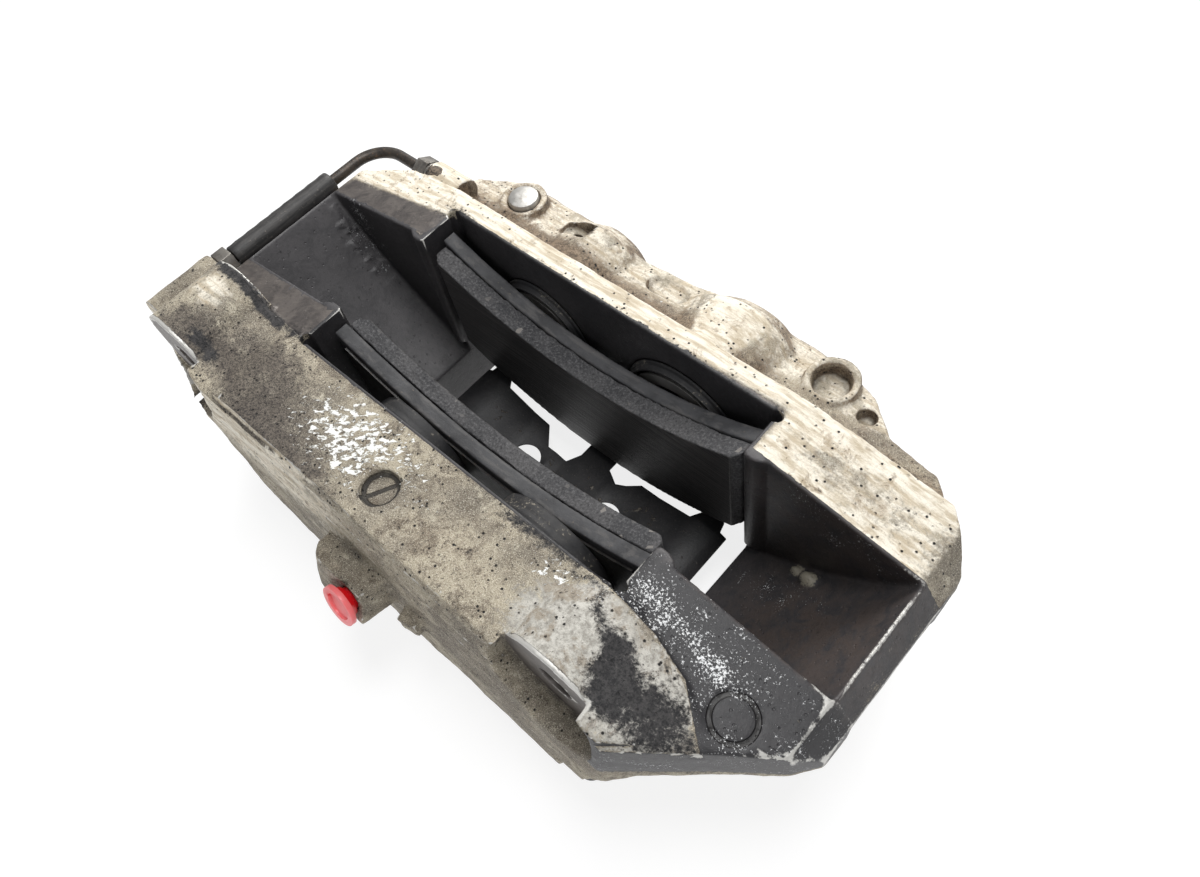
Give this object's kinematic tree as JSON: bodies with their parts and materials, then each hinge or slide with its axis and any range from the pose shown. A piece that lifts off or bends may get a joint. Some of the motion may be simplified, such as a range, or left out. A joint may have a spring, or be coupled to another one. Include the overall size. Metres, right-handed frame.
{
  "type": "brake caliper",
  "caption": "Fixed multi-piston brake caliper with pads, pad spring, crossover pipe, bleed screws and a plugged hose port; axial mounting lugs on the inboard side.",
  "frame": {"origin": "midway between the two mounting lug holes, on their machined faces", "axes": "+X along the pads, +Y across the disc to the outboard side, +Z from the window towards the disc axis"},
  "size_m": [0.2995, 0.1818, 0.1007],
  "materials": {
    "cast_alloy": "weathered sand-cast alloy, speckled with grime and pale corrosion",
    "piston_metal": "turned and anodised",
    "seal_rubber": "matt black rubber",
    "boot_rubber": "dusty black rubber",
    "plate_steel": "dusty black paint on steel",
    "friction_material": "worn friction compound with sliding scratches",
    "shim_steel": "thin coated steel",
    "spring_steel": "black stamped spring steel",
    "bolt_steel": "dull plated steel",
    "pipe_steel": "dark coated steel tube",
    "sleeve_rubber": "scuffed black rubber",
    "nut_steel": "dull plated steel",
    "bleed_steel": "yellow-plated steel",
    "cap_rubber": "black rubber",
    "plug_plastic": "bright red moulded plastic",
    "passage_steel": "bright pressed-in plug"
  },
  "bodies": {
    "caliper": {"caliper_body": "cast_alloy", "seal_inboard_left": "seal_rubber", "seal_inboard_right": "seal_rubber", "seal_outboard_left": "seal_rubber", "seal_outboard_right": "seal_rubber", "boot_inboard_left": "boot_rubber", "boot_inboard_right": "boot_rubber", "boot_outboard_left": "boot_rubber", "boot_outboard_right": "boot_rubber", "pad_spring": "spring_steel", "cross_bolt": "bolt_steel", "crossover_pipe": "pipe_steel", "pipe_sleeve": "sleeve_rubber", "flare_nut_inboard": "nut_steel", "flare_nut_outboard": "nut_steel", "passage_plug": "passage_steel"},
    "inboard_pad": {"backing_plate_inboard": "plate_steel", "friction_pad_inboard": "friction_material", "shim_inboard": "shim_steel"},
    "outboard_pad": {"backing_plate_outboard": "plate_steel", "friction_pad_outboard": "friction_material", "shim_outboard": "shim_steel"},
    "inboard_left_piston": {"piston_inboard_left": "piston_metal"},
    "inboard_right_piston": {"piston_inboard_right": "piston_metal"},
    "outboard_left_piston": {"piston_outboard_left": "piston_metal"},
    "outboard_right_piston": {"piston_outboard_right": "piston_metal"},
    "inboard_bleed_screw": {"bleed_screw_inboard": "bleed_steel"},
    "inboard_bleed_cap": {"bleed_cap_inboard": "cap_rubber"},
    "outboard_bleed_screw": {"bleed_screw_outboard": "bleed_steel"},
    "outboard_bleed_cap": {"bleed_cap_outboard": "cap_rubber"},
    "plug": {"transport_plug": "plug_plastic"}
  },
  "joints": [
    {"name": "inboard_pad_slide", "type": "slide", "parent": "caliper", "child": "inboard_pad", "axis": [0, 1, 0], "range_m": [-0.007, 0.003]},
    {"name": "inboard_left_piston_slide", "type": "slide", "parent": "caliper", "child": "inboard_left_piston", "axis": [0, 1, 0], "range_m": [-0.007, 0.003]},
    {"name": "inboard_right_piston_slide", "type": "slide", "parent": "caliper", "child": "inboard_right_piston", "axis": [0, 1, 0], "range_m": [-0.007, 0.003]},
    {"name": "outboard_pad_slide", "type": "slide", "parent": "caliper", "child": "outboard_pad", "axis": [0, -1, 0], "range_m": [0, 0.008]},
    {"name": "outboard_left_piston_slide", "type": "slide", "parent": "caliper", "child": "outboard_left_piston", "axis": [0, -1, 0], "range_m": [0, 0.008]},
    {"name": "outboard_right_piston_slide", "type": "slide", "parent": "caliper", "child": "outboard_right_piston", "axis": [0, -1, 0], "range_m": [0, 0.008]},
    {"name": "inboard_bleed_turn", "type": "hinge", "parent": "caliper", "child": "inboard_bleed_screw", "pos_m": [0.103, -0.005, -0.053], "axis": [0, 0, -1], "range_deg": [-180, 0]},
    {"name": "inboard_bleed_cap_pull", "type": "slide", "parent": "inboard_bleed_screw", "child": "inboard_bleed_cap", "axis": [0, 0, -1], "range_m": [0, 0.02]},
    {"name": "outboard_bleed_turn", "type": "hinge", "parent": "caliper", "child": "outboard_bleed_screw", "pos_m": [0.103, 0.145, -0.053], "axis": [0, 0, -1], "range_deg": [-180, 0]},
    {"name": "outboard_bleed_cap_pull", "type": "slide", "parent": "outboard_bleed_screw", "child": "outboard_bleed_cap", "axis": [0, 0, -1], "range_m": [0, 0.02]},
    {"name": "plug_pull", "type": "slide", "parent": "caliper", "child": "plug", "axis": [0, -0.9511, 0.309], "range_m": [0, 0.02]}
  ],
  "couplings": [
    {"joint": "inboard_left_piston_slide", "follows": "inboard_pad_slide", "ratio": 1},
    {"joint": "inboard_right_piston_slide", "follows": "inboard_pad_slide", "ratio": 1},
    {"joint": "outboard_left_piston_slide", "follows": "outboard_pad_slide", "ratio": 1},
    {"joint": "outboard_right_piston_slide", "follows": "outboard_pad_slide", "ratio": 1}
  ]
}
